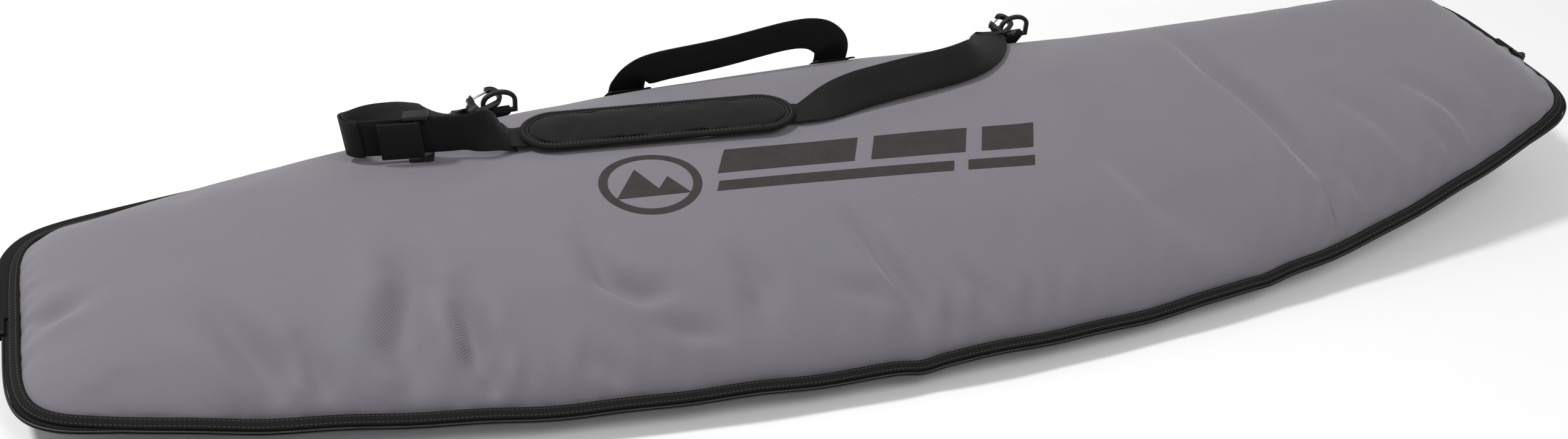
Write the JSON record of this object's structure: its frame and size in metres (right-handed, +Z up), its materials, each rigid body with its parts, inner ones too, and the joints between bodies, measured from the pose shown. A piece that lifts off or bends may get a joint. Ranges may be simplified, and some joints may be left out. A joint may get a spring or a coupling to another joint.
{
  "type": "snowboard bag",
  "caption": "Padded board bag lying closed on its back: domed grey top panel, black bound rim with a zip, shoulder strap with pad and snap hooks, carry handle.",
  "frame": {"origin": "on the floor, under the middle of the bag's flat back", "axes": "+X along the bag to the end that curls up more, +Y to the folded spine and the carry handle, +Z up through the domed top panel"},
  "size_m": [1.5462, 0.4852, 0.1457],
  "materials": {
    "shell_fabric": "woven twill, matt",
    "foam": "closed-cell foam sheet",
    "lining": "plain woven lining",
    "binding": "ribbed woven tape",
    "zip_coil": "moulded coil",
    "webbing": "ribbed webbing",
    "pad": "soft brushed fabric",
    "hardware": "moulded, satin",
    "gate_wire": "polished wire"
  },
  "bodies": {
    "bottom": {"bottom_panel_shell_tail": "shell_fabric", "bottom_panel_shell_rear": "shell_fabric", "bottom_panel_shell_middle": "shell_fabric", "bottom_panel_shell_nose": "shell_fabric", "bottom_panel_foam_tail": "foam", "bottom_panel_foam_rear": "foam", "bottom_panel_foam_middle": "foam", "bottom_panel_foam_nose": "foam", "bottom_panel_lining": "lining", "bottom_rim_binding": "binding", "zipper_tape_lower": "binding", "zipper_coil_lower": "zip_coil", "spine_gusset": "binding", "zip_end_tab_left": "binding", "zip_end_tab_right": "binding"},
    "lid": {"top_panel_shell": "shell_fabric", "top_panel_foam_tail": "foam", "top_panel_foam_rear": "foam", "top_panel_foam_middle": "foam", "top_panel_foam_nose": "foam", "top_panel_lining": "lining", "top_rim_binding": "binding", "zipper_tape_upper": "binding", "zipper_coil_upper": "zip_coil", "ring_tab_left": "webbing", "ring_tab_right": "webbing", "handle_patch_left": "webbing", "handle_patch_right": "webbing"},
    "strap": {"strap_webbing": "webbing", "strap_loop_left": "hardware", "strap_loop_right": "hardware", "ring_left": "hardware", "ring_right": "hardware"},
    "adjuster": {"strap_adjuster": "hardware", "strap_end": "webbing"},
    "pad": {"pad_body": "pad", "pad_binding": "binding", "pad_sleeve": "pad"},
    "left_hook": {"hook_left": "hardware"},
    "right_hook": {"hook_right": "hardware"},
    "left_gate": {"hook_gate_left": "gate_wire"},
    "right_gate": {"hook_gate_right": "gate_wire"},
    "handle": {"carry_handle": "webbing", "handle_grip": "webbing"},
    "slider": {"zip_slider": "hardware"},
    "pull": {"zip_pull": "hardware"}
  },
  "joints": [
    {"name": "lid_hinge", "type": "hinge", "parent": "bottom", "child": "lid", "pos_m": [0, 0.237, 0.022], "axis": [-1, 0, 0], "range_deg": [0, 70]},
    {"name": "strap_lift", "type": "hinge", "parent": "lid", "child": "strap", "pos_m": [-0.312, 0.188, 0.0656], "axis": [-0.9996, -0.0105, -0.0249], "range_deg": [0, 65]},
    {"name": "adjuster_slide", "type": "slide", "parent": "strap", "child": "adjuster", "axis": [0.9616, -0.2572, 0.0962], "range_m": [-0.004, 0.012]},
    {"name": "pad_slide", "type": "slide", "parent": "strap", "child": "pad", "axis": [0.9869, -0.1522, 0.0527], "range_m": [-0.006, 0.006]},
    {"name": "hook_swivel_left", "type": "hinge", "parent": "strap", "child": "left_hook", "pos_m": [-0.32805, 0.18783, 0.07767], "axis": [0.9179, 0.3774, 0.1224], "range_deg": [-10, 10]},
    {"name": "hook_swivel_right", "type": "hinge", "parent": "strap", "child": "right_hook", "pos_m": [0.24195, 0.19383, 0.09187], "axis": [0.7707, 0.6371, 0], "range_deg": [-10, 10]},
    {"name": "gate_left_spring", "type": "hinge", "parent": "left_hook", "child": "left_gate", "pos_m": [-0.3374, 0.19218, 0.08046], "axis": [-0.0618, 0.4408, -0.8955], "range_deg": [0, 15], "stiffness_Nm_per_rad": 0.02},
    {"name": "gate_right_spring", "type": "hinge", "parent": "right_hook", "child": "right_gate", "pos_m": [0.23185, 0.19569, 0.09482], "axis": [-0.2232, 0.27, -0.9366], "range_deg": [0, 15], "stiffness_Nm_per_rad": 0.02},
    {"name": "handle_swing", "type": "hinge", "parent": "lid", "child": "handle", "pos_m": [0, 0.2092, 0.0656], "axis": [-1, 0, 0], "range_deg": [0, 60]},
    {"name": "zip_slide", "type": "slide", "parent": "bottom", "child": "slider", "axis": [0, -1, 0], "range_m": [0, 0.05]},
    {"name": "pull_swing", "type": "hinge", "parent": "slider", "child": "pull", "pos_m": [0.7714, -0.0215, 0.1105], "axis": [0, -1, 0], "range_deg": [0, 110]}
  ]
}
